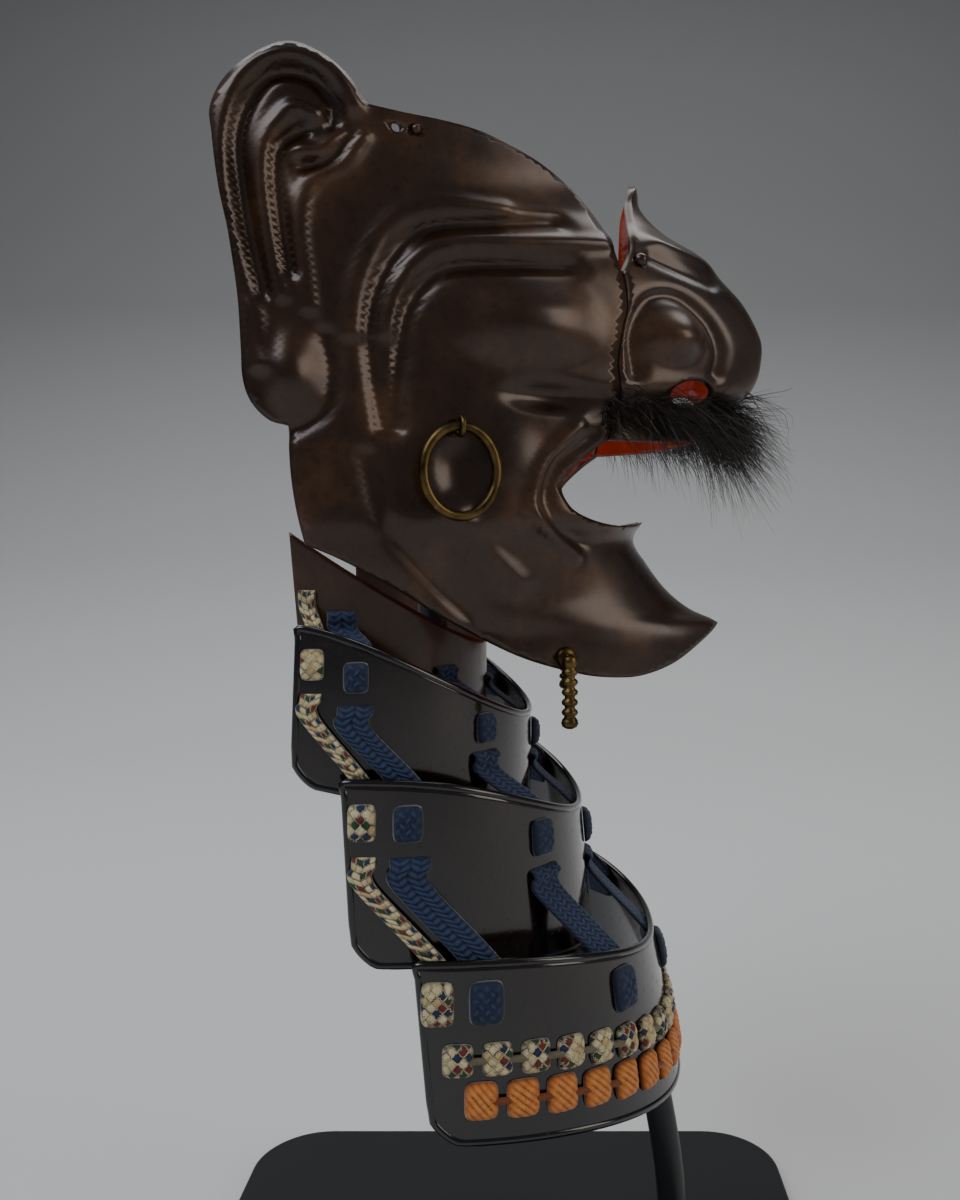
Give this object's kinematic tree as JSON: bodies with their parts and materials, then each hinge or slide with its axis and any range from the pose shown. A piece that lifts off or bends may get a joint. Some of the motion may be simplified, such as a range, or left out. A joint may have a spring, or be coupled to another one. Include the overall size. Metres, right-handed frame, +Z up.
{
  "type": "samurai face guard on a display stand",
  "caption": "Grotesque iron face guard with nose, moustache, ear rings and hanging laced throat lames, held up by a curved post on a square base.",
  "frame": {"origin": "centre of the base's underside", "axes": "+Z up, +X the way the face looks, +Y towards the guard's left side"},
  "size_m": [0.2, 0.2, 0.3726],
  "materials": {
    "russet_iron": "russet lacquered iron, soft gloss",
    "black_lacquer": "brown-black lacquer over leather and iron, glossy",
    "old_brass": "darkened, polished by handling",
    "moustache_hair": "dark hair",
    "cream_braid": "flat silk braid, cream with coloured flecks",
    "orange_braid": "flat silk braid",
    "blue_braid": "flat silk braid",
    "stand_enamel": "black satin paint"
  },
  "bodies": {
    "guard": {"face_plate": "russet_iron", "nose_plate": "russet_iron", "temple_rivet_right": "russet_iron", "temple_rivet_left": "russet_iron", "nose_stud_right": "russet_iron", "nose_stud_left": "russet_iron", "ring_staple_right": "old_brass", "ring_staple_left": "old_brass", "chin_peg_right": "old_brass", "chin_peg_left": "old_brass", "moustache": "moustache_hair", "neck_band": "russet_iron", "lame_2": "black_lacquer", "lame_3": "black_lacquer", "lame_4": "black_lacquer", "lame_2_rear_cream_right": "cream_braid", "lame_2_rear_cream_left": "cream_braid", "lame_2_rear_blue_right": "blue_braid", "lame_2_rear_blue_left": "blue_braid", "lame_2_front_blue_right": "blue_braid", "lame_2_front_blue_left": "blue_braid", "lame_2_centre_blue_front": "blue_braid", "lame_3_rear_cream_right": "cream_braid", "lame_3_rear_cream_left": "cream_braid", "lame_3_rear_blue_right": "blue_braid", "lame_3_rear_blue_left": "blue_braid", "lame_3_front_blue_right": "blue_braid", "lame_3_front_blue_left": "blue_braid", "lame_3_centre_blue_front": "blue_braid", "lame_4_rear_cream_right": "cream_braid", "lame_4_rear_cream_left": "cream_braid", "lame_4_rear_blue_right": "blue_braid", "lame_4_rear_blue_left": "blue_braid", "lame_4_front_blue_right": "blue_braid", "lame_4_front_blue_left": "blue_braid", "lame_4_centre_blue_front": "blue_braid", "cream_row_1": "cream_braid", "cream_row_2": "cream_braid", "cream_row_3": "cream_braid", "cream_row_4": "cream_braid", "orange_row_1": "orange_braid", "orange_row_2": "orange_braid", "orange_row_3": "orange_braid", "orange_row_4": "orange_braid", "stand_base": "stand_enamel", "stand_pole": "stand_enamel"},
    "ring_right": {"ear_ring_right": "old_brass"},
    "ring_left": {"ear_ring_left": "old_brass"}
  },
  "joints": [
    {"name": "ear_ring_right_swing", "type": "hinge", "parent": "guard", "child": "ring_right", "pos_m": [-0.0103, -0.05695, 0.2746], "axis": [-0.9131, -0.4078, 0], "range_deg": [0, 80]},
    {"name": "ear_ring_left_swing", "type": "hinge", "parent": "guard", "child": "ring_left", "pos_m": [-0.0103, 0.05695, 0.2746], "axis": [0.9131, -0.4078, 0], "range_deg": [0, 80]}
  ]
}
